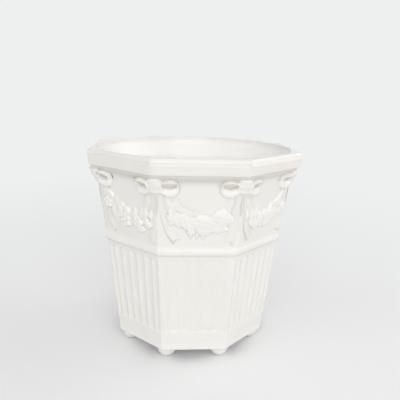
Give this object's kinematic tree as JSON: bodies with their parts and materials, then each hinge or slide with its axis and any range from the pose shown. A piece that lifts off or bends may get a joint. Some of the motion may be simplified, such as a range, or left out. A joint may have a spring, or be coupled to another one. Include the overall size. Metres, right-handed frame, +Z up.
{
  "type": "flower pot",
  "caption": "Octagonal glazed flower pot on small feet, with fluted sides, a belt, bows with ribbon tails at the corners, leaf swags between them and a plain rim band.",
  "frame": {"origin": "centre of the pot on the surface that its feet stand on", "axes": "+Z up along the pot's axis, -Y out of the front side, +X to the right"},
  "size_m": [0.1848, 0.1848, 0.1808],
  "materials": {
    "glaze": "warm white glossy glaze"
  },
  "bodies": {
    "root": {"pot_body": "glaze", "foot_1": "glaze", "foot_2": "glaze", "foot_3": "glaze", "foot_4": "glaze", "foot_5": "glaze", "foot_6": "glaze", "foot_7": "glaze", "foot_8": "glaze", "bow_1": "glaze", "garland_1": "glaze", "ribbon_tail_left_1": "glaze", "ribbon_tail_right_1": "glaze", "bow_2": "glaze", "garland_2": "glaze", "ribbon_tail_left_2": "glaze", "ribbon_tail_right_2": "glaze", "bow_3": "glaze", "garland_3": "glaze", "ribbon_tail_left_3": "glaze", "ribbon_tail_right_3": "glaze", "bow_4": "glaze", "garland_4": "glaze", "ribbon_tail_left_4": "glaze", "ribbon_tail_right_4": "glaze", "bow_5": "glaze", "garland_5": "glaze", "ribbon_tail_left_5": "glaze", "ribbon_tail_right_5": "glaze", "bow_6": "glaze", "garland_6": "glaze", "ribbon_tail_left_6": "glaze", "ribbon_tail_right_6": "glaze", "bow_7": "glaze", "garland_7": "glaze", "ribbon_tail_left_7": "glaze", "ribbon_tail_right_7": "glaze", "bow_8": "glaze", "garland_8": "glaze", "ribbon_tail_left_8": "glaze", "ribbon_tail_right_8": "glaze"}
  },
  "joints": []
}
